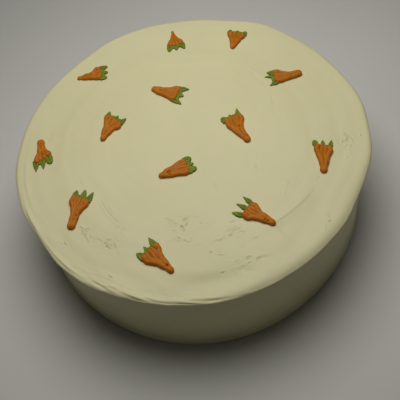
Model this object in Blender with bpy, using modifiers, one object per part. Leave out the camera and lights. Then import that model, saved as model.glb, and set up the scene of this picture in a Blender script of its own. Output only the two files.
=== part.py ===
"""A whole frosted carrot cake with thirteen piped icing carrots on its top.

Metres, +Z up. The origin is the centre of the flat underside, and the side facing -Y is the front.
The cake is one solid. Each carrot is two more: its orange root, and the fused crown of three green leaves.
"""

import math

import bmesh
import bpy
from mathutils import Matrix, Vector

# Cake
CAKE_RADIUS = 0.1288
CAKE_HEIGHT = 0.0745
TURN_STEPS = 72
TOP_RINGS = (0, 0.14, 0.28, 0.42, 0.54, 0.63, 0.72, 0.82, 0.90)  # shares of the radius
SHOULDER = 0.0042  # radius of the rounded top edge
SHOULDER_ANGLES = (90, 65, 40, 15, -15)  # degrees, from the top round to just under the lip
LIP_OUT = 0.0008  # how far the frosting lip stands out past the side
LIP_DROP = 0.0062  # from the top down to where the lip has died out
SIDE_RINGS = (0.72, 0.42, 0.15)  # shares of the way up to the lip
SIDE_WAIST = 0.0007  # how far the side draws in between the lip and the foot
FOOT_ROUND = 0.0016  # rounding where the side meets the underside
OUTLINE_INSET = 0.0004  # how far the outline's flats lie inside the true circle
# Where two strokes of the knife meet round the side they leave a soft corner, or a flat where the height
# is negative: (bearing in degrees, height in millimetres, half width in degrees)
OUTLINE_CORNERS = (
    (1, 1.8, 10),
    (22, -0.4, 10),
    (53, 2.5, 8),
    (68, -0.8, 6),
    (97, 1.8, 7),
    (110, 2.3, 7),
    (130, -0.7, 7),
    (180, 0.9, 10),
    (206, -1.5, 7),
    (227, 1.4, 8),
    (246, 0.9, 11),
    (275, 2.1, 19),
    (325, -1.0, 8),
    (342, 1.5, 9),
)

# Top of the frosting: the knife's last turn leaves a shallow terrace that spirals outwards
TERRACE_STEP = 0.0007
TERRACE_RADIUS = 0.079
TERRACE_SPIRAL = 0.019  # how much further out the terrace's edge lies at the front
TERRACE_BLEND = 0.006  # half the width of the slope at the terrace's edge
TOP_SWELL = 0.0006  # height of the slow swell across the top
SWELL_LENGTH = 0.150
SWELL_SLANT = 0.6  # how far the swell's crests turn away from running front to back

# Piped carrots
GAP = 0.0003  # clearance between pieces that lie on or against each other
ROOT_THICK = 0.0034
ROOT_TAPER = (0.02, 0.96)  # shares of the root between which it narrows: slowly, fast, then slowly again
ROOT_STATIONS = 9
CROWN_END = 0.12  # share of the root over which its crown rounds off
TIP_START = 0.86  # share of the root where its tip starts to round off
STRANDS = 4  # side by side ropes of icing that run from the crown to the tip
STRAND_END = 0.0009  # how far each strand's round end stands out past the grooves at the crown
GROOVE_DEPTH = 0.30  # share of the thickness
GROOVES_FADE = (0.72, 0.95)  # shares of the root between which the strands run together
LEAF_THICK = 0.0022
LEAF_STATIONS = (0.0, 0.12, 0.38, 0.70, 0.92)
LEAF_BASE_SHARE = 0.46  # width of a leaf's base as a share of the crown's width
LEAF_SETBACK = 0.31  # how far to each side an outer leaf starts, as a share of the crown's width
LEAF_SPREAD = 16  # degrees that each outer leaf leans away from the middle one
LEAF_SPREAD_VARIES = 5  # degrees
LEAF_LENGTH_VARIES = 0.12  # share
LEAF_LIFT = 0.00008  # keeps the middle leaf's underside out of the outer ones' plane, so that they fuse

# Each carrot: bearing round the cake and distance from its centre to the middle of the root, the way that
# the tip points, the root's length, the widths of its crown and tip, and the length of its leaves.
# Degrees and millimetres.
CARROTS = (
    (87.3, 107.6, 92, 17.6, 13.6, 3.4, 4.4),
    (59.5, 103.4, -116, 16.6, 15.0, 5.0, 2.8),
    (128.9, 108.4, -176, 19.1, 14.2, 4.0, 4.4),
    (102.3, 51.1, 149, 21.3, 15.0, 5.6, 5.4),
    (25.7, 93.7, -5, 20.5, 13.2, 5.8, 4.8),
    (158.1, 62.0, -121, 20.9, 16.2, 5.0, 3.8),
    (170.6, 110.2, 95, 18.4, 13.8, 5.8, 6.2),
    (356.2, 37.9, -75, 25.6, 15.2, 5.2, 4.4),
    (240.1, 31.2, -169, 20.8, 14.3, 5.4, 3.9),
    (334.0, 97.6, -106, 22.4, 13.6, 5.0, 4.0),
    (207.4, 97.6, -111, 23.9, 15.0, 6.0, 5.4),
    (294.6, 85.6, -46, 21.2, 15.0, 5.4, 6.6),
    (250.4, 100.7, -54, 22.3, 15.7, 5.0, 4.8),
)

FROSTING_COLOUR = (0.78, 0.71, 0.45)
ORANGE_COLOUR = (0.66, 0.16, 0.02)
GREEN_COLOUR = (0.14, 0.25, 0.03)
FROSTING_ROUGHNESS = 0.55
ICING_ROUGHNESS = 0.45


def material(name, colour, roughness):
    made = bpy.data.materials.new(name)
    made.use_nodes = True
    shader = made.node_tree.nodes["Principled BSDF"]
    shader.inputs["Base Color"].default_value = (*colour, 1)
    shader.inputs["Roughness"].default_value = roughness
    shader.inputs["Metallic"].default_value = 0
    return made


def smooth_step(low, high, value):
    share = min(max((value - low) / (high - low), 0), 1)
    return share * share * (3 - 2 * share)


def outline_swell(bearing):
    """How far the outline stands out from the true circle at a bearing in radians."""
    swell = -OUTLINE_INSET
    for crest, height, width in OUTLINE_CORNERS:
        away = (math.degrees(bearing) - crest + 180) % 360 - 180
        swell += height / 1000 * math.exp(-((away / width) ** 2))
    return swell


def top_relief(x, y):
    """Height of the frosted top above CAKE_HEIGHT, which is never more than the swell."""
    distance = math.hypot(x, y)
    turn = (math.atan2(-y, x) / math.tau) % 1.0
    edge = TERRACE_RADIUS + TERRACE_SPIRAL * math.sin(math.pi * turn)
    below = smooth_step(edge - TERRACE_BLEND, edge + TERRACE_BLEND, distance)
    swell = math.sin(math.tau * (x + SWELL_SLANT * y) / SWELL_LENGTH)
    fade = smooth_step(CAKE_RADIUS, CAKE_RADIUS / 2, distance)
    return TOP_SWELL * swell * fade - TERRACE_STEP * below


def cake_profile():
    """The turned section from the middle of the top down the side: (radius, height, share of the relief)."""
    points = [(share * CAKE_RADIUS, CAKE_HEIGHT, 1.0) for share in TOP_RINGS]
    for angle in SHOULDER_ANGLES:
        out = math.cos(math.radians(angle))
        up = math.sin(math.radians(angle))
        points.append((CAKE_RADIUS - SHOULDER * (1 - out), CAKE_HEIGHT - SHOULDER * (1 - up), max(up, 0)))
    side = CAKE_RADIUS - LIP_OUT
    lip_foot = CAKE_HEIGHT - LIP_DROP
    points.append((side, lip_foot, 0.0))
    for share in SIDE_RINGS:
        points.append((side - SIDE_WAIST * math.sin(math.pi * share), share * lip_foot, 0.0))
    points.append((side, FOOT_ROUND, 0.0))
    points.append((side - 0.3 * FOOT_ROUND, 0.3 * FOOT_ROUND, 0.0))
    points.append((side - FOOT_ROUND, 0.0, 0.0))
    points.append((0.0, 0.0, 0.0))
    return points


def outline_middle():
    """Centre of the box round the uneven outline, so that the origin can sit under it."""
    bearings = [math.tau * k / TURN_STEPS for k in range(TURN_STEPS)]
    reach = [CAKE_RADIUS + outline_swell(b) for b in bearings]
    across = [r * math.cos(b) for r, b in zip(reach, bearings)]
    along = [r * math.sin(b) for r, b in zip(reach, bearings)]
    return (min(across) + max(across)) / 2, (min(along) + max(along)) / 2


def turn_profile(profile, collection):
    """The profile's closed turned skin, as a mesh."""
    mesh = bpy.data.meshes.new("cake_profile")
    mesh.from_pydata(
        [(radius, 0, height) for radius, height, _ in profile],
        [(k, k + 1) for k in range(len(profile) - 1)],
        [],
    )
    turned = bpy.data.objects.new("cake_turned", mesh)
    collection.objects.link(turned)
    screw = turned.modifiers.new("turn", "SCREW")
    screw.steps = screw.render_steps = TURN_STEPS
    screw.use_merge_vertices = True
    screw.merge_threshold = 0.00001
    bpy.context.view_layer.update()
    skin = bpy.data.meshes.new_from_object(turned.evaluated_get(bpy.context.evaluated_depsgraph_get()))
    bpy.data.objects.remove(turned)
    return skin


def make_cake(collection, frosting):
    profile = cake_profile()
    skin = turn_profile(profile, collection)
    relief_share = {round(height, 6): share for _, height, share in profile}
    middle_x, middle_y = outline_middle()
    for vertex in skin.vertices:
        x, y, z = vertex.co
        relief = relief_share[round(z, 6)] * top_relief(x, y)
        stretch = 1 + outline_swell(math.atan2(y, x)) / CAKE_RADIUS
        vertex.co = (x * stretch - middle_x, y * stretch - middle_y, z + relief)
    cake = bpy.data.objects.new("cake", skin)
    collection.objects.link(cake)
    cake.data.materials.append(frosting)
    cake.data.shade_smooth()


def loft(sections):
    """A closed skin over rings of equally many points, each end closed with one face."""
    shape = bmesh.new()
    rings = [[shape.verts.new(point) for point in section] for section in sections]
    count = len(rings[0])
    for first, second in zip(rings, rings[1:]):
        for k in range(count):
            after = (k + 1) % count
            shape.faces.new((first[k], first[after], second[after], second[k]))
    shape.faces.new(rings[0][::-1])
    shape.faces.new(rings[-1])
    bmesh.ops.recalc_face_normals(shape, faces=shape.faces)
    return shape


def mesh_object(name, shape, collection, look, place):
    mesh = bpy.data.meshes.new(name)
    shape.to_mesh(mesh)
    shape.free()
    made = bpy.data.objects.new(name, mesh)
    collection.objects.link(made)
    made.data.materials.append(look)
    made.data.shade_smooth()
    made.data.set_sharp_from_angle(angle=math.radians(50))
    made.matrix_world = place
    return made


def root_section(share, length, crown_width, tip_width):
    """One ring of a root, at a share of the way from its crown to its tip. The tip points along +X."""
    tip = math.sqrt(1 - 0.92 * smooth_step(TIP_START, 1.0, share) ** 2)
    crown = smooth_step(0.0, CROWN_END, share)
    half_width = 0.5 * (crown_width + (tip_width - crown_width) * smooth_step(*ROOT_TAPER, share))
    half_width *= tip * (0.90 + 0.10 * crown)
    thick = ROOT_THICK * tip * (0.62 + 0.38 * crown) * (0.88 + 0.24 * share)
    grooves = GROOVE_DEPTH * (1 - smooth_step(*GROOVES_FADE, share))
    x = share * length - length / 2
    points = []
    for k in range(2 * STRANDS + 1):  # across the top, over each strand and down into each groove
        across = -1 + k / STRANDS
        crest = k % 2
        height = thick * math.sqrt(1 - abs(across) ** 2.6)
        if not crest:
            height *= 1 - grooves
        end = STRAND_END * crest * (1 - crown)
        points.append((x - end, across * half_width, max(height, 0.25 * thick)))
    for across in (0.90, 0.0, -0.90):  # back along the flat underside
        points.append((x, across * half_width, 0.0))
    return points


def root_shape(length, crown_width, tip_width):
    last = ROOT_STATIONS - 1
    return loft([root_section(k / last, length, crown_width, tip_width) for k in range(ROOT_STATIONS)])


def leaf_shape(length, base_width, lift):
    """One piped leaf along -X: blunt where it starts, drawn out to a point, with a crease down its middle."""
    sections = []
    for share in LEAF_STATIONS:
        start = smooth_step(0, LEAF_STATIONS[1], share)
        half_width = 0.5 * base_width * (1 - share) ** 0.85 * (0.86 + 0.14 * start)
        thick = LEAF_THICK * (1 - 0.62 * share) * (0.80 + 0.20 * start)
        edge, shoulder, crease = lift + 0.30 * thick, lift + 0.92 * thick, lift + 0.78 * thick
        x = -share * length
        sections.append(
            [
                (x, -half_width, edge),
                (x, -0.5 * half_width, shoulder),
                (x, 0.0, crease),
                (x, 0.5 * half_width, shoulder),
                (x, half_width, edge),
                (x, 0.0, lift),
            ]
        )
    shape = loft(sections)
    ends = [face for face in shape.faces if len(face.verts) == len(sections[0])]
    thin_end = min(ends, key=lambda face: face.calc_center_median().x)
    point = bmesh.ops.poke(shape, faces=[thin_end])["verts"][0]
    point.co = (-length, 0.0, lift + 0.25 * LEAF_THICK)
    return shape


def make_leaves(name, collection, helpers, look, place, length, crown_width, leaf_length, number):
    """Three leaves fanned out behind the crown, fused where their bases meet."""
    start = -length / 2 - STRAND_END - GAP
    base_width = LEAF_BASE_SHARE * crown_width
    leaves = {}
    for side in (-1, 0, 1):
        lean = math.radians(side * LEAF_SPREAD + LEAF_SPREAD_VARIES * math.sin(1.7 * number + side))
        stretch = 1 + LEAF_LENGTH_VARIES * math.sin(2.3 * number + 1.9 * side)
        shape = leaf_shape(leaf_length * stretch, base_width, 0.0 if side else LEAF_LIFT)
        inset = 0.45 * base_width * abs(math.sin(lean))
        offset = Matrix.Translation((start - inset, side * LEAF_SETBACK * crown_width, 0))
        bmesh.ops.transform(shape, matrix=offset @ Matrix.Rotation(-lean, 4, "Z"), verts=shape.verts)
        leaves[side] = shape
    tuft = mesh_object(name, leaves[0], collection, look, place)
    for side in (-1, 1):
        helper = mesh_object(f"{name}_helper_{side + 2}", leaves[side], helpers, look, place)
        helper.hide_render = True
        helper.display_type = "WIRE"
        union = tuft.modifiers.new("fuse", "BOOLEAN")
        union.operation = "UNION"
        union.object = helper


def rest_height(place, length, crown_width, leaf_length):
    """The height at which a carrot's flat underside clears the highest frosting below it."""
    reach = length / 2 + leaf_length
    heights = []
    for along in (-1.0, -0.5, 0.0, 0.5, 1.0):
        for across in (-0.5, 0.0, 0.5):
            spot = place @ Vector((along * reach, across * crown_width, 0))
            heights.append(top_relief(spot.x, spot.y))
    return CAKE_HEIGHT + max(heights) + GAP


def make_carrots(collection, helpers, orange, green):
    for number, (bearing, distance, heading, *sizes) in enumerate(CARROTS, start=1):
        length, crown_width, tip_width, leaf_length = (size / 1000 for size in sizes)
        spot = Matrix.Rotation(math.radians(bearing), 4, "Z") @ Vector((distance / 1000, 0, 0))
        flat = Matrix.Translation(spot) @ Matrix.Rotation(math.radians(heading), 4, "Z")
        lift = Matrix.Translation((0, 0, rest_height(flat, length, crown_width, leaf_length)))
        place = lift @ flat
        name = f"carrot_{number:02d}"
        root = root_shape(length, crown_width, tip_width)
        mesh_object(f"{name}_root", root, collection, orange, place)
        make_leaves(
            f"{name}_leaves", collection, helpers, green, place, length, crown_width, leaf_length, number
        )


def main():
    for old in list(bpy.data.objects):
        bpy.data.objects.remove(old)
    cake_parts = bpy.data.collections.new("carrot_cake")
    helpers = bpy.data.collections.new("helpers")
    bpy.context.scene.collection.children.link(cake_parts)
    bpy.context.scene.collection.children.link(helpers)
    make_cake(cake_parts, material("frosting", FROSTING_COLOUR, FROSTING_ROUGHNESS))
    orange = material("orange_icing", ORANGE_COLOUR, ICING_ROUGHNESS)
    green = material("green_icing", GREEN_COLOUR, ICING_ROUGHNESS)
    make_carrots(cake_parts, helpers, orange, green)


main()
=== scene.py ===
import math

import bmesh
import bpy
import numpy as np
from mathutils import Matrix, Vector


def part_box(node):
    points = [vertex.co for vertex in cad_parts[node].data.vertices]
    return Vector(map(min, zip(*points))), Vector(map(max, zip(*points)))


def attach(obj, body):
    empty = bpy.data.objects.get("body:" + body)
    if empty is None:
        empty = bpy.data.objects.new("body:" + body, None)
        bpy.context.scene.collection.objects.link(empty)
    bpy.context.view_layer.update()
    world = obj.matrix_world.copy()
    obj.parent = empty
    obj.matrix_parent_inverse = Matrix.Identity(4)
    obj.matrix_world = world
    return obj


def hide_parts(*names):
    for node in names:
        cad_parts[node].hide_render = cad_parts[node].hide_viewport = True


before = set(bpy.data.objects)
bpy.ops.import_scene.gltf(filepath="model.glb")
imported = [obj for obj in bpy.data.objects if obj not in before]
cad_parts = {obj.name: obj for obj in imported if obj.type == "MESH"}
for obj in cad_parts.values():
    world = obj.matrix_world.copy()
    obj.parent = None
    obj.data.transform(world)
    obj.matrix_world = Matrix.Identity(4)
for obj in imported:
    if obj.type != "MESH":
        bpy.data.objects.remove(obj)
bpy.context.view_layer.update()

# A whole carrot cake under cream frosting, with piped icing carrots on its top.
# Shapes are worked out in millimetres from the middle of the cake's foot and set down in metres. A bearing
# is in degrees round the cake, with 0 at the right, 90 at the back and 270 at the front.

mm = 0.001
turn = 2 * math.pi
print("Frame loaded:", len(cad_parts), "CAD nodes")


# A soft step: 0 up to the first place and 1 from the second one on, whichever of them is the larger
def ease(none, full, value):
    share = np.clip((value - none) / (full - none), 0, 1)
    return share * share * (3 - 2 * share)


# A soft hill: 1 in the middle and all but gone two widths away
def bump(value, width):
    return np.exp(-(value / width) ** 2)


# Soft lumps from -1 to 1 on a lattice. Columns is how many cells go round before they repeat.
def lattice(u, v, seed, columns=64):
    rows = 64
    table = np.random.RandomState(seed).uniform(-1, 1, (columns, rows))
    i, j = np.floor(u).astype(int), np.floor(v).astype(int)
    fu, fv = u - i, v - j
    fu, fv = fu * fu * (3 - 2 * fu), fv * fv * (3 - 2 * fv)
    near = table[i % columns, j % rows] * (1 - fu) + table[(i + 1) % columns, j % rows] * fu
    far = table[i % columns, (j + 1) % rows] * (1 - fu) + table[(i + 1) % columns, (j + 1) % rows] * fu
    return near * (1 - fv) + far * fv


# Lumps of one size over a plane, with a second finer layer that is turned so that no grid shows
def lumps(x, y, size, seed):
    first = lattice((0.8 * x + 0.6 * y) / size, (0.8 * y - 0.6 * x) / size, seed)
    second = lattice((0.28 * x - 0.96 * y) * 2.1 / size, (0.28 * y + 0.96 * x) * 2.1 / size, seed + 1)
    return 0.7 * first + 0.35 * second


# Streaks that run round the cake: around is how many lumps fit in one turn, across is their width
def streaks(bearing, travel, around, across, seed):
    first = lattice(bearing / turn * around, travel / across, seed, around)
    second = lattice(bearing / turn * 2 * around, 1.7 * travel / across + 9.3, seed + 1, 2 * around)
    return 0.7 * first + 0.35 * second


def meshPiece(name, shape):
    mesh = bpy.data.meshes.new(name)
    shape.to_mesh(mesh)
    shape.free()
    piece = bpy.data.objects.new(name, mesh)
    bpy.context.scene.collection.objects.link(piece)
    return piece


def corners(mesh):
    places = np.empty(len(mesh.vertices) * 3)
    mesh.vertices.foreach_get("co", places)
    return places.reshape(-1, 3)


def setCorners(mesh, places):
    mesh.vertices.foreach_set("co", places.astype(np.float32).ravel())
    mesh.update()


def facing(mesh):
    normals = np.empty(len(mesh.vertices) * 3, np.float32)
    mesh.vertices.foreach_get("normal", normals)
    return normals.reshape(-1, 3)


def paint(mesh, name, values):
    layer = mesh.attributes.new(name, "FLOAT", "POINT")
    layer.data.foreach_set("value", values.astype(np.float32))


camera = {
    "distance": 0.4986,     # from the middle of the cake's foot
    "elevation": 56.12,     # degrees above the table
    "lens": 54.0,           # on a sensor 36 mm wide
    "roll": 11.90,          # held tilted
    "tip": -0.520,          # aims slightly off the middle of the foot
    "swing": 0.156,
}


def setCamera(c):
    slope = math.radians(c["elevation"])
    place = Vector((0, -math.cos(slope), math.sin(slope))) * c["distance"]
    ahead = -place.normalized()
    right = Vector((1, 0, 0))
    level = Matrix((right, right.cross(ahead), ahead))
    held = (
        Matrix.Rotation(math.radians(c["roll"]), 3, "Z")
        @ Matrix.Rotation(math.radians(c["tip"]), 3, "X")
        @ Matrix.Rotation(math.radians(c["swing"]), 3, "Y")
        @ level
    )
    data = bpy.data.cameras.new("camera")
    data.lens = c["lens"]
    data.clip_start = 0.01
    made = bpy.data.objects.new("camera", data)
    bpy.context.scene.collection.objects.link(made)
    facingBack = Matrix((held[0], held[1], -held[2])).transposed()
    made.matrix_world = Matrix.Translation(place) @ facingBack.to_4x4()
    bpy.context.scene.camera = made


setCamera(camera)
print("Camera set")


frosting = {
    "shoulder": 2.9,        # radius of the rounded top edge
    "curl": 42,             # degrees that the lip turns under past level
    "sideIn": 2.6,          # how far the side stands in from the widest edge
    "footOut": 1.4,         # the side spreads again where it meets the board
    "footRound": 1.4,
    "footWaves": 5,         # the foot keeps only the broad waves of the outline
    "waist": 0.5,
    "spacing": 1.2,         # between rings on the top
    "edgeSpacing": 0.5,     # between rings over the rounded edge
    "sideSpacing": 1.7,
    "sideCorners": 384,     # in each ring of the side
    "topApart": 2.0,        # most that the corners of a ring on the top lie apart
    "underApart": 2.24,     # and on the underside
    "swellBelow": 0.6,      # the top's mean level lies this far below its highest swell

    "terraceStep": 0.55,    # the knife left the outer part of the top a little lower
    "terraceSlope": 6,
    "terraceReach": 79,     # where the lower part starts
    "terraceGrowth": 19,    # further out at the front, where the knife's last turn ends
    "terraceBulge": (-46, 22, 15),      # and out to the long knife line: bearing, spread, how far
    "swell": 0.5,
    "dents": 0.10,          # small unevenness of the outer part, more so at the front
    "ripple": 0.06,         # faint rings left by the turntable
    "rippleSpacing": 10,
    "rippleTurn": 3.2,      # the rings wind outwards
    "streak": 0.17,
    "edgeLumps": 0.25,
    "frontLumps": (240, 34, 1.6),       # the lip is lumpier here: bearing, spread, how much more
    "drawnIn": (275, 20, 1.3),          # and stands in here: bearing, spread, how far
    "edgeRough": 0.05,
    "foldRough": (240, 24, 0.24),       # rough skin between the folds: bearing, spread, height
    "sideStreak": 0.24,
    "sideLumps": 0.45,
    "sideBands": 0.07,      # left by the scraper as the cake turned

    "tearDeep": 0.38,       # of the holes in a torn patch
    "smearDeep": 0.24,      # of the dragged skin round them
    "tearBurr": 0.28,       # frosting pushed up beside a hole

    "low": (0.765, 0.712, 0.432),
    "high": (0.800, 0.748, 0.467),
    "cloudScale": 14.0,     # the colour drifts between low and high in broad clouds
    "cloudFrom": 0.30,
    "shadeMask": "tearShade",
    "shadeColour": (0.61, 0.565, 0.33),      # darker colour in the bottom of a tear, partly crumb and partly painted shade
    "grainScale": 900.0,
    "grainDetail": 4.0,
    "grain": 0.12,          # strength of the fine bumps
    "shader": {             # matt, with a little light inside it
        "Roughness": 0.55,
        "Subsurface Weight": 0.08,
        "Subsurface Radius": (0.004, 0.003, 0.0015),
        "Subsurface Scale": 1.0,
    },

    # Lines where the knife's edge stopped or lifted: bearings, distance out at each, how deep the groove is,
    # how much lower the frosting lies outside it at once (sharp) and over a distance (step, fall), and the
    # degrees over which the line fades in and out
    "knifeLines": (
        dict(start=-64, end=-36, reach=(94.5, 101), groove=0, sharp=0.34, step=0.50, fall=7, fades=(2, 11)),
        dict(start=52, end=27, reach=(81.5, 74), groove=0.30, sharp=0, step=0.22, fall=1.6, fades=(6, 6)),
        dict(start=30, end=4, reach=(75, 68), groove=0.07, sharp=0, step=0.05, fall=1.6, fades=(7, 7)),
        dict(start=206, end=228, reach=(79, 83), groove=0.20, sharp=0, step=0.24, fall=1.6, fades=(5, 5)),
        dict(start=218, end=224, reach=(71, 74), groove=0.08, sharp=0, step=0.05, fall=1.6, fades=(2, 2)),
    ),

    # Folds where the side's frosting was wiped in over the edge: bearings from and to, how far in from the
    # edge line at each, height and width
    "edgeFolds": (
        (178, 211, 6.4, 0.0, 0.48, 1.0),
        (160, 203, 8.5, 7.0, 0.32, 1.3),
        (207, 238, 1.6, 3.4, 0.46, 0.5),
        (222, 240, 0.2, 1.2, 0.30, 0.6),
        (229, 243, 5.0, 0.4, 0.60, 0.7),
        (235, 248, 5.6, 0.6, 0.95, 0.9),
        (240, 254, 3.6, 0.0, 0.60, 0.7),
        (246, 258, 4.2, 0.8, 0.45, 0.6),
        (251, 266, 3.0, 0.0, 0.55, 0.7),
        (258, 272, 3.2, 0.8, 0.35, 0.6),
        (264, 280, 2.2, 0.2, 0.35, 0.7),
    ),
    "foldBearings": (173, 284),     # the skin is finer between these

    # Where the edge was wiped round instead of folded: how far in the rounding starts and how deep it is
    "wipedEdge": dict(start=248, end=352, inset=8.5, deep=4.2),

    # Soft hollows and rises left by the knife near the edge: middle, half length, half width, turned by, and
    # how high they rise
    "softMarks": (
        (-4, -117, 26, 8, 4, -2.2),
        (-48, -108, 18, 5, -40, -0.45),
        (-68, -100, 18, 4, -42, 0.40),
        (-84, -84, 16, 5, -50, -0.40),
        (-30, -101, 20, 4, -16, 0.30),
        (60, -98, 30, 6, 38, -0.45),
        (88, -70, 24, 5, 50, 0.30),
        (104, -20, 20, 6, 78, -0.40),
    ),

    # Patches where the frosting dragged and tore under the knife: middle, half length along the knife's way,
    # half width across it, and how strongly it is torn
    "tearPatches": (
        (-82, -61, 9, 4.5, 0.8),
        (-67, -73, 10, 5, 0.8),
        (-55, -64, 5, 4, 0.5),
        (-14, -71, 9, 6, 1.4),
        (-1, -72, 8, 5, 0.5),
        (-24, -66, 6, 4, 0.4),
        (-17, -83, 11, 3, 0.9),
        (14, -86, 15, 4, 0.8),
        (33, -93, 13, 3.5, 0.5),
        (4, -101, 8, 3, 0.3),
        (20, -107, 12, 3.5, 0.9),
        (2, -98, 5, 3, 0.6),
        (60, -59, 7, 4, 0.6),
        (81, -55, 5, 3, 0.5),
        (79, -90, 8, 3, 0.8),
        (108, -30, 9, 5, 1.0),
        (104, -42, 6, 3, 0.7),
        (-96, -66, 4, 3, 0.8),
        (-81, -18, 4, 3, 0.6),
        (-101, 24, 8, 2.5, 0.4),
        (66, 20, 8, 2.5, 0.4),
        (45, -35, 8, 5, 0.4),
    ),

    # Single tears: middle, turned by, length, depth
    "tearMarks": (
        (-13, -71.5, 60, 2.6, 0.45), (-16.4, -83.6, -28, 2.8, 0.35), (-3.6, -72.5, -65, 2.0, 0.25),
        (17, -77, 10, 3.2, 0.30), (-1.4, -95.5, -30, 1.4, 0.45), (3.6, -110.7, 10, 1.8, 0.40),
        (21.4, -108.6, 20, 1.8, 0.35), (-67.2, -97.4, -50, 2.4, 0.45), (-67, -75, 20, 2.2, 0.45),
        (-96, -66.4, -60, 1.9, 0.42), (79, -91.5, 20, 2.0, 0.45), (118.6, -28.6, 60, 1.4, 0.40),
        (109.3, -35.7, 70, 1.8, 0.30), (11.3, -47, 94, 8.0, 0.14), (67, 18, 86, 9.0, 0.14),
        (-64, -46, -54, 9.0, 0.10),
    ),

    # Rings left where the knife's tip was twisted: middle, half length, half width, turned by, depth
    "twistMarks": (
        (25.5, -110, 9.0, 4.0, 5, 0.28),
        (61, -56.5, 4.5, 2.6, -20, 0.16),
        (68, -57, 3.0, 2.2, 20, 0.14),
    ),
}


# The cake's own outline, as waves round the circle, from the CAD solid's widest points
def outlineWaves(steps=72, kept=24):
    places = corners(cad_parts["cake"].data) / mm
    reach, bearing = np.hypot(places[:, 0], places[:, 1]), np.arctan2(places[:, 1], places[:, 0])
    slot = np.round(bearing / turn * steps).astype(int) % steps
    widest = np.array([reach[slot == k].max() for k in range(steps)])
    return (np.fft.rfft(widest) / steps)[:kept]


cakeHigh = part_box("cake")[1] / mm
topLevel = cakeHigh.z - frosting["swellBelow"]
waves = outlineWaves()
edgeReach = waves[0].real


def edgeAt(bearing, finest=len(waves) - 1):
    wave = sum((waves[k] * np.exp(1j * k * bearing)).real for k in range(1, finest + 1))
    return edgeReach + 2 * wave


# The section from the middle of the top, over the edge and down to the middle of the underside, as places
# (distance out, height), with the distance travelled along the skin from the edge line
def coatSection(f):
    r, level = f["shoulder"], topLevel
    flat = edgeReach - r
    points = [(out, level) for out in np.linspace(0, flat, round(flat / f["spacing"]))]
    sweep = math.radians(90 + f["curl"])
    for share in np.linspace(0, 1, round(sweep * r / f["edgeSpacing"]))[1:]:
        angle = math.pi / 2 - share * sweep
        points.append((flat + r * math.cos(angle), level - r + r * math.sin(angle)))
    start, end = points[-1][1], f["footRound"]
    curled = (1 - math.cos(math.radians(f["curl"]))) * r
    for height in np.linspace(start, end, round((start - end) / f["sideSpacing"]))[1:]:
        share = height / start
        blend = ease(0, 3.5, start - height)
        out = edgeReach - curled * (1 - blend) - f["sideIn"] * blend
        out += f["footOut"] * bump(height - end, 5) - f["waist"] * math.sin(math.pi * share) * blend
        points.append((out, height))
    foot = points[-1][0]
    for angle in (30, 60, 90):
        across = math.radians(angle)
        points.append((foot - end * (1 - math.cos(across)), end * (1 - math.sin(across))))
    for out in np.linspace(points[-1][0], 0, 18)[1:]:
        points.append((out, 0.0))
    places = np.array(points)
    travel = np.r_[0, np.cumsum(np.hypot(*np.diff(places, axis=0).T))]
    return places, travel - flat


# A ring near the middle has 24 corners, doubled further out until they lie close enough together
def ringCount(out, height):
    if 0.01 <= height < topLevel - 8:
        return frosting["sideCorners"]
    apart = frosting["underApart"] if height < 0.01 else frosting["topApart"]
    count = 24
    while count < turn * out / apart and count < 768:
        count *= 2
    return count


# The bare skin, made of rings of corners along the section
def coatSkin(f):
    places, travel = coatSection(f)
    shape = bmesh.new()
    along = shape.verts.layers.float.new("travel")
    rings = []
    for (out, height), gone in zip(places, travel):
        count = 1 if out < 0.01 else ringCount(out, height)
        ring = []
        for k in range(count):
            angle = turn * k / count
            vert = shape.verts.new((out * math.cos(angle), out * math.sin(angle), height))
            vert[along] = gone
            ring.append(vert)
        rings.append(ring)
    for inner, outer in zip(rings, rings[1:]):
        joinRings(shape, inner, outer)
    bmesh.ops.recalc_face_normals(shape, faces=shape.faces)
    return shape


def joinRings(shape, first, second):
    if len(first) > len(second):
        first, second = second, first
    few, many = len(first), len(second)
    for k in range(few):
        a, b = first[k], first[(k + 1) % few]
        if few == 1:
            for j in range(many):
                shape.faces.new((a, second[j], second[(j + 1) % many]))
        elif few == many:
            shape.faces.new((a, second[k], second[(k + 1) % many], b))
        else:
            c, d, e = second[2 * k], second[2 * k + 1], second[(2 * k + 2) % many]
            shape.faces.new((a, c, d))
            shape.faces.new((a, d, b))
            shape.faces.new((b, d, e))


def onFlat(z):
    return z > topLevel - 0.01


# Cuts the faces smaller wherever wanted(x, y) says so, on the flat of the top
def cutSmaller(shape, wanted):
    shape.faces.ensure_lookup_table()
    middles = np.array([face.calc_center_median() for face in shape.faces])
    chosen = wanted(middles[:, 0], middles[:, 1]) & onFlat(middles[:, 2])
    edges = {edge for k in np.flatnonzero(chosen) for edge in shape.faces[k].edges}
    bmesh.ops.subdivide_edges(shape, edges=list(edges), cuts=1, use_grid_fill=True)


# Distance from a place along the knife's way round the cake, and across it
def alongKnife(px, py, x, y):
    reach = math.hypot(px, py)
    return ((y - py) * px - (x - px) * py) / reach, ((x - px) * px + (y - py) * py) / reach


# Distance from a mark's middle along the mark, which is turned by a heading in degrees, and across it
def alongMark(px, py, heading, x, y):
    c, s = math.cos(math.radians(heading)), math.sin(math.radians(heading))
    return c * (x - px) + s * (y - py), c * (y - py) - s * (x - px)


# How far a place lies outside a knife line, and how strong the line is there
def acrossLine(line, x, y):
    bearing = np.degrees(np.arctan2(y, x))
    span = line["end"] - line["start"]
    middle = (line["start"] + line["end"]) / 2
    share = 0.5 + ((bearing - middle + 180) % 360 - 180) / span
    reach = line["reach"][0] + (line["reach"][1] - line["reach"][0]) * share
    fadeIn, fadeOut = (fade / abs(span) for fade in line["fades"])
    strength = ease(0, fadeIn, share) * ease(1, 1 - fadeOut, share)
    return np.hypot(x, y) - reach, strength


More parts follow.
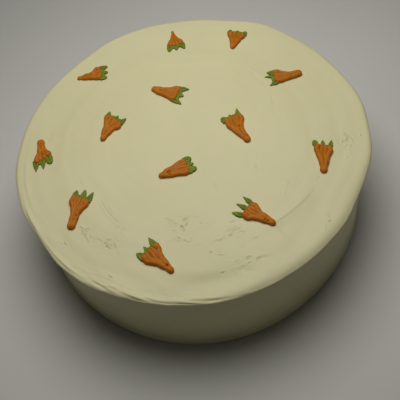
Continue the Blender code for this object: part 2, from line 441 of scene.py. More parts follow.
# Where the skin has to be finer: round the tears, on the sharp knife lines and under the folds
def nearTears(room, x, y):
    close = np.zeros(len(x), bool)
    for px, py, along, across, strength in frosting["tearPatches"]:
        u, v = alongKnife(px, py, x, y)
        close |= np.hypot(u / (along + room), v / (across + room)) < 1.2
    for px, py, heading, length, depth in frosting["tearMarks"]:
        close |= np.hypot(x - px, y - py) < room + 0.8 * length
    return close


def nearLines(room, x, y):
    close = np.zeros(len(x), bool)
    for line in frosting["knifeLines"]:
        away, strength = acrossLine(line, x, y)
        crisp = line["groove"] + line["sharp"] > 0.1
        close |= (np.abs(away) < room) & (strength > 0) & crisp
    return close


def nearFolds(room, x, y):
    first, last = frosting["foldBearings"]
    bearing = np.degrees(np.arctan2(y, x)) % 360
    return (np.hypot(x, y) > edgeReach - room) & (bearing > first) & (bearing < last)


# The height of the top over its mean level
def topRelief(x, y, withTears=True):
    f = frosting
    reach, bearing = np.hypot(x, y), np.arctan2(y, x)
    onward = (-bearing / turn) % 1.0        # how far the knife's last turn has come
    terrace = f["terraceReach"] + f["terraceGrowth"] * np.sin(math.pi * onward)
    middle, spread, further = f["terraceBulge"]
    terrace += further * bump(np.degrees(bearing) - middle, spread)
    height = -f["terraceStep"] * ease(terrace - f["terraceSlope"], terrace + f["terraceSlope"], reach)
    height += f["swell"] * lumps(x, y, size=62, seed=3) * ease(edgeReach, 0.6 * edgeReach, reach)
    height += f["streak"] * streaks(bearing, reach, around=9, across=9, seed=5) * ease(6, 30, reach)
    towardsFront = ease(0.3, -0.5, np.sin(bearing))
    outer = ease(60, 95, reach) * (0.4 + 0.6 * towardsFront)
    height += f["dents"] * outer * lumps(1.4 * x + 0.5 * y, y - 0.4 * x, size=9, seed=17)
    swirl = reach + f["rippleTurn"] * bearing + 1.5 * lumps(x, y, size=40, seed=8)
    patchy = 0.55 + 0.45 * lumps(x, y, size=35, seed=11)
    height += f["ripple"] * np.sin(swirl * turn / f["rippleSpacing"]) * patchy
    pressKnifeLines(height, x, y)
    pressMarks(height, x, y)
    if withTears:
        height -= tearDepth(x, y)[0]
    return height


# Lowers the given heights outside each knife line. Further out they come back to their old level.
def pressKnifeLines(height, x, y):
    for line in frosting["knifeLines"]:
        away, strength = acrossLine(line, x, y)
        groove = bump(away, 0.55) - 0.5 * bump(away - 1.3, 0.8)
        drop = line["step"] * ease(-1.0, line["fall"], away) + line["sharp"] * ease(-0.5, 0.5, away)
        height -= strength * (line["groove"] * groove + drop * bump(np.maximum(away - line["fall"], 0), 13))


# Adds the rings and soft marks to the given heights
def pressMarks(height, x, y):
    for px, py, long, wide, heading, depth in frosting["twistMarks"]:
        u, v = alongMark(px, py, heading, x, y)
        u, v = u / long, v / wide
        uneven = 0.6 + 0.4 * np.sin(2 * np.arctan2(v, u) + px)
        height -= depth * bump(np.hypot(u, v) - 1, 0.9 / wide) * uneven
    for px, py, long, wide, heading, rise in frosting["softMarks"]:
        u, v = alongMark(px, py, heading, x, y)
        height += rise * bump(u, long) * bump(v, wide)


# The depth of the tears at each place, and how strongly the bottom of a tear is darkened, partly by crumb
# and partly by painted shade, from 0 to 1
def tearDepth(x, y):
    f = frosting
    depth, tearShadeMask = np.zeros(len(x)), np.zeros(len(x))
    for number, (px, py, along, across, strength) in enumerate(f["tearPatches"]):
        u, v = alongKnife(px, py, x, y)
        near = np.flatnonzero(np.hypot(u / along, v / across) < 2)
        if not len(near):
            continue
        u, v = u[near], v[near]
        v = v + 0.8 * lumps(u, v, size=5, seed=200 + number)     # so that no tear runs straight
        inside = strength * bump(u, along) * bump(v, across)
        here = lumps(u / 1.7, v, size=2.3, seed=230 + number) + 0.25 * inside
        beside = lumps(u / 1.7, v + 1.2, size=2.3, seed=230 + number) + 0.25 * inside
        hole = ease(0.32, 0.75, here) * inside
        burr = np.maximum(ease(0.32, 0.75, beside) * inside - hole, 0)
        smear = ease(0.15, 0.65, lumps(u / 2.4, v, size=3.0, seed=330 + number)) * inside
        depth[near] += f["tearDeep"] * hole + f["smearDeep"] * smear - f["tearBurr"] * burr
        tearShadeMask[near] = np.maximum(tearShadeMask[near], np.maximum(0.75 * hole, 0.45 * smear))
    for px, py, heading, length, deep in f["tearMarks"]:
        near = np.flatnonzero(np.hypot(x - px, y - py) < 2 * length)
        if not len(near):
            continue
        u, v = alongMark(px, py, heading, x[near], y[near])
        v = v + 0.5 * lumps(u, v, size=2.4, seed=round(abs(10 * px)))
        width = 0.45 + 0.05 * length
        hole = bump(u, 0.6 * length) * bump(v, width) * (1 + 0.5 * lumps(u, v, size=1.6, seed=7))
        burr = bump(u, 0.65 * length) * bump(v - 2 * width, width)
        depth[near] += deep * (hole - 0.45 * burr)
        tearShadeMask[near] = np.maximum(tearShadeMask[near], hole * min(deep / 0.5, 1))
    return depth, np.clip(tearShadeMask, 0, 1)


# How far the wiped part of the edge lies below the plain rounded edge, at a distance in from the edge line
def wipeDrop(bearing, inset, z):
    w, r = frosting["wipedEdge"], frosting["shoulder"]
    share = ((np.degrees(bearing) % 360) - w["start"]) / (w["end"] - w["start"])
    plain = r * np.sqrt(1 - np.clip(1 - inset / r, 0, 1) ** 2)
    wiped = w["deep"] * np.sqrt(1 - np.clip(1 - inset / w["inset"], 0, 1) ** 2)
    above = w["deep"] - r + plain - wiped
    below = (w["deep"] - r) * ease(topLevel - r - 12, topLevel - r, z)
    return np.where(z > topLevel - r - 0.001, above, below) * ease(0, 0.18, share) * ease(1, 0.6, share)


# How far the folds and the rough skin stand out at the edge
def edgeRelief(bearing, travel):
    f = frosting
    degrees = np.degrees(bearing) % 360
    level = np.zeros(len(bearing))
    height = np.zeros(len(bearing))
    for number, (start, end, insetFirst, insetLast, high, wide) in enumerate(f["edgeFolds"]):
        share = (degrees - start) / (end - start)
        strength = ease(0, 0.3, share) * ease(1, 0.7, share)
        line = 2.6 - insetFirst - (insetLast - insetFirst) * share
        line = line + 0.8 * streaks(bearing, level, around=40, across=1, seed=31 + number)
        away = travel - line
        ridge = bump(np.maximum(away, 0), wide) * bump(np.minimum(away, 0), 2.2 * wide)
        uneven = np.maximum(0.7 + 0.8 * streaks(bearing, level, around=75, across=1, seed=51 + number), 0)
        height += strength * high * uneven * (ridge - 0.5 * bump(away - 1.6 * wide, wide))
    middle, spread, more = f["foldRough"]
    rough = f["edgeRough"] + more * bump(degrees - middle, spread)
    height += rough * streaks(bearing, travel, around=120, across=1.6, seed=81)
    return height


# Moves the bare skin's corners to where the knife left the frosting
def dressSkin(places, normals, travel):
    f = frosting
    x, y, z = places.T
    bearing, reach = np.arctan2(y, x), np.hypot(x, y)
    degrees = np.degrees(bearing) % 360
    lift = ease(0.15, 0.95, normals[:, 2]) * topRelief(x, y)
    fold = edgeRelief(bearing, travel) * (bump(travel - 1, 11) * (z > topLevel - 9))

    edgeX, edgeY = edgeReach * np.cos(bearing), edgeReach * np.sin(bearing)
    lip = f["edgeLumps"] * lumps(edgeX, edgeY, size=16, seed=41) * ease(topLevel - 14, topLevel - 3, z)
    middle, spread, more = f["frontLumps"]
    lip = lip * (1 + more * bump(degrees - middle, spread))
    side = f["sideLumps"] * lumps(edgeX + 0.7 * z, edgeY - 0.5 * z, size=34, seed=61)
    side += f["sideStreak"] * streaks(bearing, z, around=11, across=7, seed=71)
    side += f["sideBands"] * streaks(bearing, z, around=5, across=2.4, seed=75)
    side = side * ease(0, 8, z) * ease(topLevel + 1, topLevel - 12, z)
    out = (1 - np.abs(normals[:, 2])) * (z > 0.01) * (side + lip)

    moved = places + normals * (fold + out)[:, None]
    moved[:, 2] += lift - wipeDrop(bearing, np.maximum(edgeReach - reach, 0), z)
    moved[:, 2] = np.maximum(moved[:, 2], 0)
    foot = edgeAt(bearing, f["footWaves"])
    outline = foot + (edgeAt(bearing) - foot) * ease(topLevel - 45, topLevel - 8, z)
    middle, spread, inward = f["drawnIn"]
    outline -= inward * bump(degrees - middle, spread) * ease(topLevel - 22, topLevel - 7, z)
    moved[:, :2] *= (outline / edgeReach)[:, None]
    return moved


def makeFrosting(material):
    shape = coatSkin(frosting)
    cutSmaller(shape, lambda x, y: nearTears(1.5, x, y) | nearLines(2.3, x, y) | nearFolds(10.5, x, y))
    cutSmaller(shape, lambda x, y: nearTears(0, x, y))
    piece = meshPiece("frostedCake", shape)
    mesh = piece.data
    places = corners(mesh)
    travel = np.empty(len(places), np.float32)
    mesh.attributes["travel"].data.foreach_get("value", travel)
    # the bottom of each tear takes a darker colour, partly crumb and partly painted shade
    paint(mesh, "tearShade", tearDepth(places[:, 0], places[:, 1])[1] * onFlat(places[:, 2]))
    setCorners(mesh, dressSkin(places, facing(mesh), travel) * mm)
    mesh.attributes.remove(mesh.attributes["travel"])
    mesh.shade_smooth()
    mesh.materials.append(material)
    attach(piece, "root")
    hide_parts("cake")
    mesh.calc_loop_triangles()
    print("Frosting:", len(mesh.loop_triangles), "triangles")


class Nodes:
    def __init__(self, name):
        self.material = bpy.data.materials.new(name)
        self.material.use_nodes = True
        self.tree = self.material.node_tree
        self.shader = self.tree.nodes["Principled BSDF"]

    def add(self, kind, **settings):
        node = self.tree.nodes.new(kind)
        for key, value in settings.items():
            if hasattr(node, key):
                setattr(node, key, value)
            else:
                node.inputs[key.replace("_", " ")].default_value = value
        return node

    def link(self, source, target):
        self.tree.links.new(source, target)


def ramp(nodes, source, stops):
    node = nodes.add("ShaderNodeValToRGB")
    while len(node.color_ramp.elements) < len(stops):
        node.color_ramp.elements.new(0.5)
    for element, (place, colour) in zip(node.color_ramp.elements, stops):
        element.position = place
        element.color = (*colour, 1)
    nodes.link(source, node.inputs[0])
    return node.outputs["Color"]


# Frosting and icing: a cloudy colour that turns into a darker one where the shade mask is high, and a fine
# grain. The darker colour is painted shade in the icing's grooves and flanks, and partly crumb, partly
# painted shade in the frosting's tears
def sugarMaterial(name, look):
    n = Nodes(name)
    place = n.add("ShaderNodeNewGeometry").outputs["Position"]
    cloud = n.add("ShaderNodeTexNoise", Scale=look["cloudScale"], Detail=3.0)
    n.link(place, cloud.inputs["Vector"])
    stops = ((look["cloudFrom"], look["low"]), (1 - look["cloudFrom"], look["high"]))
    shadeMask = n.add("ShaderNodeAttribute", attribute_name=look["shadeMask"])
    mix = n.add("ShaderNodeMix", data_type="RGBA")
    n.link(shadeMask.outputs["Fac"], mix.inputs["Factor"])
    n.link(ramp(n, cloud.outputs[0], stops), mix.inputs["A"])
    mix.inputs["B"].default_value = (*look["shadeColour"], 1)
    n.link(mix.outputs["Result"], n.shader.inputs["Base Color"])
    fine = n.add("ShaderNodeTexNoise", Scale=look["grainScale"], Detail=look["grainDetail"])
    n.link(place, fine.inputs["Vector"])
    grain = n.add("ShaderNodeBump", Strength=look["grain"], Distance=0.0002)
    n.link(fine.outputs[0], grain.inputs["Height"])
    n.link(grain.outputs[0], n.shader.inputs["Normal"])
    for socket, value in look["shader"].items():
        n.shader.inputs[socket].default_value = value
    return n.material


# What all the piped icing has in common
icing = {
    "fullShadeDepth": 0.14,     # a groove this deep takes the full painted shade
    "cloudScale": 160.0,
    "cloudFrom": 0.35,
    "shadeMask": "grooveShade",
    "grainScale": 1500.0,
    "grainDetail": 3.0,
    "grain": 0.25,
    "shader": {"Roughness": 0.5, "Specular IOR Level": 0.22},
}

roots = {
    "voxel": 0.26,          # grain of the skin that runs the ropes together
    "ropeRadius": 2.05,     # of the two ropes that run along the sides, where they are thickest
    "ropeShare": 0.31,      # and as a share of the root's width where the root is narrow
    "ropeRise": 0.62,       # how high a rope's middle runs, as a share of its radius
    "ropeRoom": 3.4,        # radii of width that the two outer ropes take up
    "innerFat": 1.30,       # over 1, the inner ropes press into each other
    "innerDrop": 0.25,      # how far the inner ropes' tops lie below the outer ones
    "innerDive": 1.1,       # and how much further at their ends
    "crownIn": 0.9,         # how far each end of the crown is rounded in from its widest place
    "crownRound": 0.88,     # length of a rope's rounding at the crown, as a share of its radius
    "tipRound": 1.2,        # and at the tip
    "tipRope": 2.2,         # largest radius of a rope at the tip
    "pitDeep": 1.1,         # small pits where an air bubble broke
    "pitSize": 0.62,
    "sink": 0.35,           # how deep the icing is pressed into the frosting
    "flankShade": 0.15,       # painted shade down the flanks
    "steps": 30,
    "low": (0.505, 0.152, 0.004),
    "high": (0.59, 0.184, 0.007),
    # painted shade colour for the grooves and flanks
    "shadeColour": (0.26, 0.064, 0.002),
}

leaves = {
    "voxel": 0.22,
    "thick": 2.3,
    "tuck": 1.9,            # how far a leaf starts inside the crown
    "crease": 0.46,
    "web": 1.9,             # how far the icing reaches ahead of the crown between two leaves
    "neck": 0,              # how much narrower a leaf starts
    "sink": 0.2,
    "flankShade": 0.6,
    "low": (0.155, 0.203, 0.011),
    "high": (0.214, 0.275, 0.021),
    # painted shade colour for the creases and flanks
    "shadeColour": (0.050, 0.070, 0.004),
}

# Every carrot was piped by hand. Seen with its tip pointing away, its left and right sides are each given as
# the share of the length where the side is widest, and half widths there, at 0.3, 0.5 and 0.8 of the length
# and at the tip. Crown says how far its left and right ends lie ahead of its middle. Inner is how many ropes
# fill the middle and the share of the length where they end. A pit is (share of the length, place from side
# to side). A leaf, from left to right, is (side place of its base, of its point, length, width, bluntness).
carrotShapes = {
    1: {
        "left": (0.08, 6.8, 4.1, 3.0, 1.8, 1.2), "right": (0.09, 6.8, 4.0, 2.9, 1.6, 1.2),
        "crown": (0, 0), "inner": (2, 0.66), "pits": (),
        "leaves": ((4.6, 6.6, 5.0, 5.6, 0.5), (0.0, 0.2, 4.8, 5.4, 0.5), (-4.6, -6.4, 5.0, 5.6, 0.5)),
    },
    2: {
        "left": (0.10, 7.5, 5.5, 4.5, 3.2, 2.4), "right": (0.09, 7.5, 5.4, 4.5, 3.2, 2.4),
        "crown": (0, 0), "inner": (2, 0.72), "pits": (),
        "leaves": ((5.2, 7.0, 2.8, 5.6, 0.6), (0.0, 0.0, 3.0, 5.5, 0.6), (-5.4, -6.8, 3.2, 5.7, 0.6)),
    },
    3: {
        "left": (0.14, 7.1, 5.4, 4.4, 3.1, 1.9), "right": (0.11, 7.0, 3.1, 2.6, 2.2, 1.9),
        "crown": (0, 0), "inner": (2, 0.70), "pits": (),
        "leaves": ((5.0, 7.0, 3.6, 5.7, 0.7), (0.4, 0.8, 5.0, 5.7, 0.7), (-4.6, -5.6, 5.6, 5.7, 0.6)),
    },
    4: {
        "left": (0.06, 7.5, 6.0, 5.0, 4.2, 2.9), "right": (0.08, 7.6, 5.3, 3.8, 3.0, 2.6),
        "crown": (0, 0), "inner": (3, 0.74), "pits": (),
        "leaves": ((5.6, 8.3, 6.1, 5.5, 0.3), (0.2, 0.0, 4.6, 5.5, 0.6), (-5.4, -7.6, 5.9, 5.7, 0.4)),
    },
    5: {
        "left": (0.09, 6.7, 4.3, 3.0, 2.6, 3.1), "right": (0.16, 6.6, 5.9, 5.1, 4.1, 3.0),
        "crown": (0, 0), "inner": (2, 0.70), "pits": (),
        "leaves": ((4.8, 5.8, 4.7, 5.5, 0.4), (1.0, 1.5, 6.9, 5.0, 0.1), (-4.8, -8.3, 4.2, 5.5, 0.1)),
    },
    6: {
        "left": (0.18, 8.3, 5.2, 3.8, 2.5, 2.0), "right": (0.05, 8.2, 6.2, 4.9, 4.0, 2.5),
        "crown": (2.1, -2.1), "inner": (3, 0.72), "pits": (),
        "leaves": ((6.0, 8.3, 4.5, 5.0, 0.3), (0.8, 1.1, 4.2, 5.0, 0.3), (-5.8, -6.8, 4.4, 5.5, 0.2)),
    },
    7: {
        "left": (0.06, 7.0, 5.2, 3.7, 3.1, 2.8), "right": (0.12, 6.9, 4.3, 3.0, 2.8, 2.8),
        "crown": (-1.8, 1.8), "inner": (2, 0.60), "pits": (),
        "leaves": ((5.2, 6.4, 7.4, 5.5, 0.1), (0.8, 0.7, 7.7, 5.2, 0.2), (-4.2, -5.2, 6.0, 6.2, 0.9)),
    },
    8: {
        "left": (0.13, 7.6, 5.1, 3.2, 2.6, 2.8), "right": (0.22, 7.6, 6.7, 5.7, 3.6, 2.4),
        "crown": (0, 0), "inner": (3, 0.74), "pits": ((0.42, 0.15), (0.84, 0.55)),
        "leaves": ((4.4, 7.0, 6.1, 5.5, 0.1), (-0.8, -0.6, 3.4, 4.8, 0.3), (-5.6, -7.0, 3.4, 5.5, 0.9)),
    },
    9: {
        "left": (0.08, 7.1, 5.8, 4.9, 3.8, 2.5), "right": (0.13, 7.2, 5.9, 4.8, 3.8, 2.5),
        "crown": (0, 0), "inner": (3, 0.70), "pits": ((0.66, 0.5),),
        "leaves": ((4.0, 3.7, 5.2, 6.4, 0.8), (-0.9, -0.9, 4.5, 5.0, 0.5), (-5.2, -5.8, 4.4, 6.2, 0.9)),
    },
    10: {
        "left": (0.11, 6.9, 5.2, 4.2, 3.2, 2.8), "right": (0.12, 6.8, 5.5, 4.2, 2.8, 2.6),
        "crown": (0.9, -0.9), "inner": (2, 0.66), "pits": (), "web": 0.3, "neck": 0.55,
        "leaves": ((4.6, 5.7, 5.7, 4.8, 0.2), (-0.3, -0.5, 4.6, 4.3, 0.4), (-5.2, -6.4, 4.0, 5.0, 0.9)),
    },
    11: {
        "left": (0.12, 7.5, 4.6, 3.1, 3.1, 2.9), "right": (0.17, 7.6, 5.8, 4.1, 3.2, 3.1),
        "crown": (1.2, -1.3), "inner": (3, 0.62), "pits": ((0.60, 0.5),),
        "leaves": ((5.4, 7.5, 6.8, 5.2, 0.3), (1.0, 1.4, 7.2, 5.5, 0.5), (-4.6, -4.5, 5.2, 5.5, 0.5)),
    },
    12: {
        "left": (0.08, 7.4, 5.1, 3.8, 3.5, 2.7), "right": (0.17, 7.4, 5.1, 3.8, 2.6, 2.0),
        "crown": (0, 0), "inner": (3, 0.68), "pits": ((0.69, -0.2), (0.77, -0.2)), "web": 0.3, "neck": 0.55,
        "leaves": ((5.5, 7.3, 7.5, 5.2, 0.1), (0.5, 0.2, 8.1, 5.2, 0.15), (-5.0, -7.1, 6.8, 5.6, 0.3)),
    },
    13: {
        "left": (0.12, 7.9, 5.4, 4.2, 3.3, 2.4), "right": (0.18, 7.9, 6.1, 4.2, 2.9, 2.1),
        "crown": (0, 0), "inner": (3, 0.72), "pits": ((0.76, 0.2),), "web": 1.3,
        "leaves": ((5.3, 7.0, 6.9, 5.9, 0.15), (-0.2, 0.2, 4.7, 5.0, 0.15), (-5.0, -6.4, 4.5, 6.0, 0.5)),
    },
}


# Where a carrot lies: middle, the way its tip points and the root's length, from its CAD solids
def carrotPlace(number):
    root = corners(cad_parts[f"carrot_{number:02d}_root"].data)[:, :2] / mm
    tuft = corners(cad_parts[f"carrot_{number:02d}_leaves"].data)[:, :2] / mm
    spread = root - root.mean(0)
    axis = np.linalg.svd(spread, full_matrices=False)[2][0]
    if axis @ (tuft.mean(0) - root.mean(0)) > 0:
        axis = -axis
    side = np.array((-axis[1], axis[0]))
    along, across = root @ axis, root @ side
    middle = axis * (along.min() + along.max()) / 2 + side * (across.min() + across.max()) / 2
    return middle, math.atan2(axis[1], axis[0]), np.ptp(along)


# One side of a root from crown to tip, as half widths at even steps
def rootEdge(side):
    where, crown, *inner, tip = side
    shares = np.linspace(0, 1, roots["steps"])
    widths = (crown - roots["crownIn"], crown, *inner, tip)
    edge = np.interp(shares, (0, where, 0.30, 0.50, 0.80, 0.94), widths)
    padded = np.pad(edge, 1, mode="edge")
    return np.convolve(padded, (0.25, 0.5, 0.25), "valid")


# The ropes of icing side by side, each as points with a radius
def rootRopes(rng, carrot, length):
    r = roots
    shares = np.linspace(0, 1, r["steps"])
    leftEdge, rightEdge = rootEdge(carrot["left"]), rootEdge(carrot["right"])
    total = leftEdge + rightEdge
    outer = np.minimum(r["ropeRadius"], r["ropeShare"] * total)
    outer = outer + (min(0.86 * total[-1] / 2, r["tipRope"]) - outer) * ease(0.80, 0.98, shares)
    blob = 1 + 0.10 * bump(shares - 0.06, 0.06)
    number, innerEnd = carrot["inner"]
    inner = r["innerFat"] * np.maximum((total - r["ropeRoom"] * outer) / (2 * number), 0.75)
    inner = inner * (1 - 0.45 * ease(0.7 * innerEnd, innerEnd, shares))
    ropes = []
    for k in range(number + 2):
        place = 1 - 2 * k / (number + 1)          # 1 is the left side and -1 the right
        atSide = abs(place) > 0.99
        wander = 1 + 0.05 * np.sin(shares * rng.uniform(14, 22) + rng.uniform(0, 6))
        radius = (outer if atSide else inner) * blob * wander
        leftMost, rightMost = leftEdge - outer, rightEdge - outer
        y = (1 + place) / 2 * leftMost - (1 - place) / 2 * rightMost
        y = y + (0.08 if atSide else 0.25) * np.sin(shares * rng.uniform(6, 10) + rng.uniform(0, 6))
        start = -length / 2 + (carrot["crown"][0] * (1 + place) + carrot["crown"][1] * (1 - place)) / 2
        start += r["crownRound"] * radius[0] + rng.uniform(-0.3, 0.3)
        end = length / 2 - r["tipRound"] * radius[-1]
        x = start + shares * (end - start)
        z = r["ropeRise"] * radius
        if not atSide:
            top = (1 + r["ropeRise"]) * outer - r["innerDrop"] + rng.uniform(-0.15, 0.15)
            z = top - radius - r["innerDive"] * ease(0.75 * innerEnd, innerEnd, shares)
            keep = shares <= innerEnd
            x, y, z, radius = x[keep], y[keep], z[keep], radius[keep]
        ropes.append(list(zip(x, y, z, radius)))
    return ropes


def ropeCurve(ropes):
    data = bpy.data.curves.new("ropes", "CURVE")
    data.dimensions = "3D"
    data.bevel_depth = mm
    data.bevel_resolution = 4
    data.use_fill_caps = True
    for points in ropes:
        x, y, z, radius = points[0]         # each end of a rope is rounded by a few more points
        rounded = [(x - roots["crownRound"] * radius, y, z, 0.35 * radius)]
        rounded.append((x - 0.55 * radius, y, z, 0.80 * radius))
        rounded += points
        x, y, z, radius = points[-1]
        for angle in (0.35, 0.70, 1.05, 1.36):
            onward, left = roots["tipRound"] * math.sin(angle), math.cos(angle)
            rounded.append((x + onward * radius, y, z * left, radius * left))
        spline = data.splines.new("POLY")
        spline.points.add(len(rounded) - 1)
        for point, (x, y, z, radius) in zip(spline.points, rounded):
            point.co = (x * mm, y * mm, z * mm, 1)
            point.radius = radius
    made = bpy.data.objects.new("ropes", data)
    bpy.context.scene.collection.objects.link(made)
    return made


# Runs separate closed shapes together into one skin, as wet icing does
def fuse(source, name, voxel):
    bpy.context.view_layer.update()
    graph = bpy.context.evaluated_depsgraph_get()
    mesh = bpy.data.meshes.new_from_object(source.evaluated_get(graph))
    bpy.data.objects.remove(source)
    piece = bpy.data.objects.new(name, mesh)
    bpy.context.scene.collection.objects.link(piece)
    remesh = piece.modifiers.new("fuse", "REMESH")
    remesh.mode = "VOXEL"
    remesh.voxel_size = voxel * mm
    smooth = piece.modifiers.new("settle", "SMOOTH")
    smooth.factor = 0.5
    smooth.iterations = 2
    bpy.context.view_layer.update()
    graph = bpy.context.evaluated_depsgraph_get()
    piece.data = bpy.data.meshes.new_from_object(piece.evaluated_get(graph))
    piece.modifiers.clear()
    return piece


# How deep the skin lies in a groove at each corner, from 0 on a rounded ridge to 1 in a groove, as the mask
# for painted shade
def hollows(mesh):
    places = corners(mesh)
    pairs = np.empty(len(mesh.edges) * 2, np.int32)
    mesh.edges.foreach_get("vertices", pairs)
    a, b = pairs.reshape(-1, 2).T
    count = np.bincount(np.r_[a, b], minlength=len(places))[:, None]

    def spreadOut(values):
        total = np.zeros_like(values)
        np.add.at(total, a, values[b])
        np.add.at(total, b, values[a])
        return total / count

    smooth = places
    for _ in range(6):
        smooth = spreadOut(smooth)
    depth = ((smooth - places) * facing(mesh)).sum(1)
    for _ in range(2):
        depth = spreadOut(depth[:, None])[:, 0]
    return np.clip(depth / (icing["fullShadeDepth"] * mm), 0, 1)


# Lays a piece that was made flat round the origin onto the frosting, following its relief
def layDown(piece, middle, heading, sink):
    places = corners(piece.data) / mm
    places[:, 2] = np.maximum(places[:, 2], -0.25)
    c, s = math.cos(heading), math.sin(heading)
    x = middle[0] + c * places[:, 0] - s * places[:, 1]
    y = middle[1] + s * places[:, 0] + c * places[:, 1]
    z = places[:, 2] + topLevel + topRelief(x, y, withTears=False) - sink
    setCorners(piece.data, np.stack((x, y, z), 1) * mm)


# Paints shade into the grooves and, less strongly, down the flanks, and lays the piece on the cake
def finishIcing(piece, middle, heading, look, material):
    mesh = piece.data
    flankMask = ease(0.62, 0.20, facing(mesh)[:, 2])
    paint(mesh, "grooveShade", np.clip(hollows(mesh) + look["flankShade"] * flankMask, 0, 1))
    layDown(piece, middle, heading, look["sink"])
    mesh.shade_smooth()
    mesh.materials.clear()
    mesh.materials.append(material)
    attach(piece, "root")


# Pushes the skin's top down round each pit
def pressPits(piece, carrot, length):
    places = corners(piece.data) / mm
    for share, side in carrot["pits"]:
        half = rootEdge(carrot["left" if side > 0 else "right"])[round(share * (roots["steps"] - 1))]
        away = np.hypot((places[:, 0] - (share - 0.5) * length) / 1.25, places[:, 1] - side * half)
        places[:, 2] -= roots["pitDeep"] * bump(away, roots["pitSize"]) * ease(0.6, 1.8, places[:, 2])
    setCorners(piece.data, places * mm)


def makeRoot(number, material):
    middle, heading, length = carrotPlace(number)
    rng = np.random.RandomState(100 + number)
    carrot = carrotShapes[number]
    ropes = ropeCurve(rootRopes(rng, carrot, length))
    piece = fuse(ropes, f"pipedRoot{number:02d}", roots["voxel"])
    pressPits(piece, carrot, length)
    finishIcing(piece, middle, heading, roots, material)
    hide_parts(f"carrot_{number:02d}_root")


# One leaf as a closed skin of rings from its base in the crown to its point
def leafShape(shape, rng, start, end, width, blunt, neck):
    f = leaves
    steps, sides = 16, 16
    along = np.array(end) - np.array(start)
    length = math.hypot(*along)
    along = along / length
    side = np.array((-along[1], along[0]))
    phase, bend = rng.uniform(0, 6), rng.uniform(-0.5, 0.5)
    rings = []
    for share in np.linspace(0, 1, steps):
        pointed = 1 - share ** 1.35
        rounded = math.sqrt(max(1 - share ** 3.2, 0))
        rounded *= 0.86 + 0.14 * math.sin(min(share / 0.6, 1) * math.pi / 2)
        half = width / 2 * (pointed + (rounded - pointed) * blunt) * (1 - neck * ease(0.5, 0, share))
        wavy = 1 + 0.09 * math.sin(12 * share + phase) * (1 - share)
        half = max(half * wavy, 0.16)
        deep = f["thick"] * (1 - (0.50 - 0.2 * blunt) * share)
        deep *= min(1, 0.55 + 1.2 * half / width)
        ring = []
        for k in range(sides):
            angle = turn * k / sides
            across, up = math.cos(angle), math.sin(angle)
            crease = f["crease"] * bump(across, 0.30) * (up > 0) * (1 - 0.8 * share)
            ridge = 0.05 * math.sin(9 * across + 5 * share + phase) * (up > 0)
            aside = half * across + bend * share * (1 - share) * 2
            x, y = np.array(start) + along * share * length + side * aside
            z = deep * (0.5 + 0.5 * up) * (1 - crease + ridge) + 0.35 * share ** 2
            ring.append(shape.verts.new((x * mm, y * mm, z * mm)))
        rings.append(ring)
    for first, second in zip(rings, rings[1:]):
        joinRings(shape, first, second)
    shape.faces.new(rings[0][::-1])
    shape.faces.new(rings[-1])


# Where the crown's outline lies along the carrot, at a place from side to side
def crownAt(carrot, side, length):
    return np.interp(side, (-carrot["right"][1], carrot["left"][1]), carrot["crown"][::-1]) - length / 2


def makeLeaves(number, material):
    middle, heading, length = carrotPlace(number)
    rng = np.random.RandomState(300 + number)
    carrot = carrotShapes[number]
    shape = bmesh.new()
    for base, point, long, wide, blunt in carrot["leaves"]:
        crown = crownAt(carrot, base, length)
        start, end = (crown + leaves["tuck"], base), (crown - long, point)
        leafShape(shape, rng, start, end, wide, blunt, carrot.get("neck", leaves["neck"]))
    for (left, *_), (right, *_) in zip(carrot["leaves"], carrot["leaves"][1:]):
        between = (left + right) / 2
        spot = Vector((crownAt(carrot, between, length) - 0.2, between, 0.7)) * mm
        size = Vector((carrot.get("web", leaves["web"]), 0.6 * (left - right), 0.8)) * mm
        web = Matrix.Translation(spot) @ Matrix.Diagonal((*size, 1))
        bmesh.ops.create_icosphere(shape, subdivisions=3, radius=1, matrix=web)
    bmesh.ops.recalc_face_normals(shape, faces=shape.faces)
    piece = fuse(meshPiece("leafShapes", shape), f"pipedLeaves{number:02d}", leaves["voxel"])
    finishIcing(piece, middle, heading, leaves, material)
    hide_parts(f"carrot_{number:02d}_leaves")


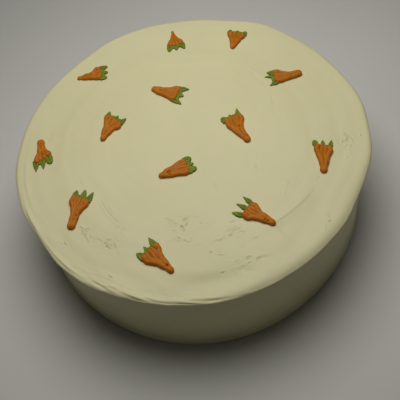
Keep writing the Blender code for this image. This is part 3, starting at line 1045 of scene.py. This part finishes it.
stage = {
    "floorColour": (0.76, 0.75, 0.73),
    "worldColour": (1.0, 0.99, 0.93),
    "worldStrength": 0.022,
    "lights": {             # the key light hangs over the cake and slightly behind it
        "key": dict(place=(0.015, 0.085, 0.50), size=0.40, power=1.49, colour=(1.0, 0.99, 0.92)),
        "fill": dict(place=(0.9, -0.6, 0.7), size=0.80, power=0.05, colour=(1.0, 0.98, 0.95)),
    },
}


def makeFloor(s):
    shape = bmesh.new()
    bmesh.ops.create_grid(shape, x_segments=40, y_segments=40, size=3.0)
    floor = meshPiece("floor", shape)
    n = Nodes("paleFloor")
    cloud = n.add("ShaderNodeTexNoise", Scale=6.0, Detail=2.0)
    n.link(n.add("ShaderNodeNewGeometry").outputs["Position"], cloud.inputs["Vector"])
    low = tuple(0.97 * value for value in s["floorColour"])
    colour = ramp(n, cloud.outputs[0], ((0.35, low), (0.65, s["floorColour"])))
    n.link(colour, n.shader.inputs["Base Color"])
    n.shader.inputs["Roughness"].default_value = 0.8
    floor.data.materials.append(n.material)


def roundLight(name, place, size, power, colour):
    data = bpy.data.lights.new(name, "AREA")
    data.shape = "DISK"
    data.size = size
    data.energy = power
    data.color = colour
    light = bpy.data.objects.new(name, data)
    bpy.context.scene.collection.objects.link(light)
    light.location = place
    aim = Vector((0, 0, 0.05)) - Vector(place)
    light.rotation_euler = aim.to_track_quat("-Z", "Y").to_euler()


def makeStage(s):
    makeFloor(s)
    for name, light in s["lights"].items():
        roundLight(name, **light)
    world = bpy.data.worlds.new("studio")
    world.use_nodes = True
    sky = world.node_tree.nodes["Background"]
    sky.inputs["Color"].default_value = (*s["worldColour"], 1)
    sky.inputs["Strength"].default_value = s["worldStrength"]
    bpy.context.scene.world = world
    bpy.context.scene.view_settings.view_transform = "Standard"


makeFrosting(sugarMaterial("creamFrosting", frosting))
orange = sugarMaterial("orangeIcing", icing | roots)
green = sugarMaterial("greenIcing", icing | leaves)
for number in carrotShapes:
    makeRoot(number, orange)
    makeLeaves(number, green)
print("Carrots:", len(carrotShapes))
makeStage(stage)
print("Stage set")
